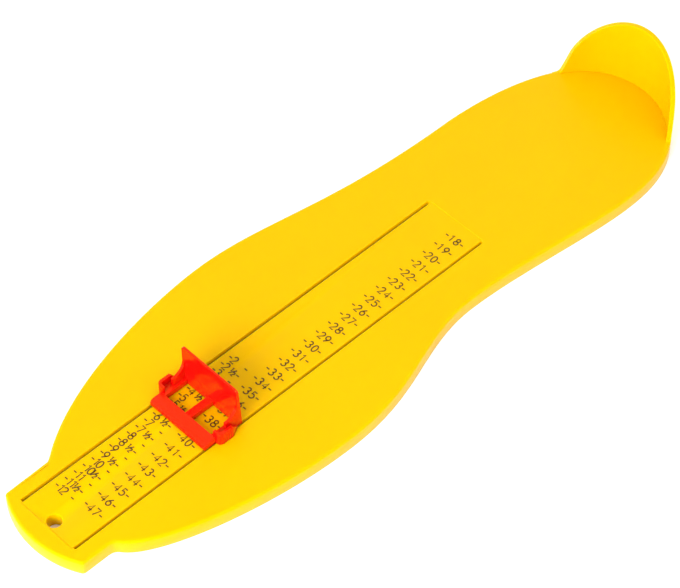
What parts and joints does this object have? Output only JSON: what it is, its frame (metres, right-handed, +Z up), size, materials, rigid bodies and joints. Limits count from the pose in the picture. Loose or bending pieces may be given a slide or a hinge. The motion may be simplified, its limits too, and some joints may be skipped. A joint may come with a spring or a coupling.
{
  "type": "foot measuring device",
  "caption": "Foot-shaped plate with an upright curved heel stop, and a slider with a toe stop that runs in slots beside printed shoe-size scales.",
  "frame": {"origin": "middle of the object's footprint, at the level of the surface that it stands on", "axes": "+Z up from the table, +Y from the toe end to the heel, +X to the right when looking from the toe end to the heel"},
  "size_m": [0.105, 0.3392, 0.0399],
  "materials": {
    "plate_plastic": "yellow moulded plastic, satin to softly glossy, with dark brown printed scales",
    "slider_plastic": "glossy orange-red moulded plastic",
    "scale_print": "thin dark brown printing ink"
  },
  "bodies": {
    "plate": {"sole_plate": "plate_plastic"},
    "slider": {"slider": "slider_plastic"}
  },
  "joints": [
    {"name": "slider_travel", "type": "slide", "parent": "plate", "child": "slider", "axis": [0, 1, 0], "range_m": [-0.0705, 0.1379]}
  ]
}
